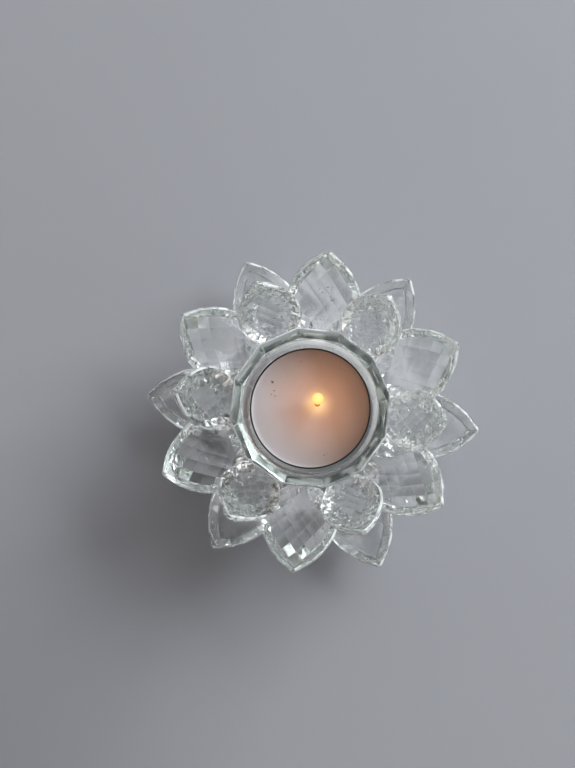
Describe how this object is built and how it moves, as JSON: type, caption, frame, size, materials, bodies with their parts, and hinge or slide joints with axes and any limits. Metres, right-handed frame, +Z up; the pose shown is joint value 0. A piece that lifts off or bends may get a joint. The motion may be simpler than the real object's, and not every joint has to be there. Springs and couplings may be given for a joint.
{
  "type": "lotus candle holder",
  "caption": "Cut-glass lotus tealight holder: rings of faceted petals bonded round a twelve-sided glass cup, with a tealight that lifts out.",
  "frame": {"origin": "middle of the cup's underside, on the surface that the holder stands on", "axes": "+Z up; +X towards the tip of one lower petal, +Y towards the tip of one middle petal"},
  "size_m": [0.1136, 0.1048, 0.0558],
  "materials": {
    "crystal": "clear cut glass, ground and polished",
    "adhesive": "clear cured adhesive with a few bubbles",
    "tealight_tin": "thin drawn aluminium",
    "wax": "white paraffin wax, slightly glossy",
    "wick_tab": "tinned steel",
    "wick": "braided cotton, charred"
  },
  "bodies": {
    "holder": {"candle_cup": "crystal", "lower_petal_1": "crystal", "lower_petal_2": "crystal", "lower_petal_3": "crystal", "lower_petal_4": "crystal", "lower_petal_5": "crystal", "lower_petal_6": "crystal", "middle_petal_1": "crystal", "middle_petal_2": "crystal", "middle_petal_3": "crystal", "middle_petal_4": "crystal", "middle_petal_5": "crystal", "middle_petal_6": "crystal", "inner_petal_1": "crystal", "inner_petal_2": "crystal", "inner_petal_3": "crystal", "inner_petal_4": "crystal", "inner_petal_5": "crystal", "inner_petal_6": "crystal", "lower_bond_1": "adhesive", "lower_bond_2": "adhesive", "lower_bond_3": "adhesive", "lower_bond_4": "adhesive", "lower_bond_5": "adhesive", "lower_bond_6": "adhesive", "middle_bond_1": "adhesive", "middle_bond_2": "adhesive", "middle_bond_3": "adhesive", "middle_bond_4": "adhesive", "middle_bond_5": "adhesive", "middle_bond_6": "adhesive", "inner_bond_1": "adhesive", "inner_bond_2": "adhesive", "inner_bond_3": "adhesive", "inner_bond_4": "adhesive", "inner_bond_5": "adhesive", "inner_bond_6": "adhesive"},
    "tealight": {"tealight_cup": "tealight_tin", "tealight_wax": "wax", "wick_tab": "wick_tab", "wick": "wick"}
  },
  "joints": [
    {"name": "tealight_lift", "type": "slide", "parent": "holder", "child": "tealight", "axis": [0, 0, 1], "range_m": [0, 0.035]}
  ]
}
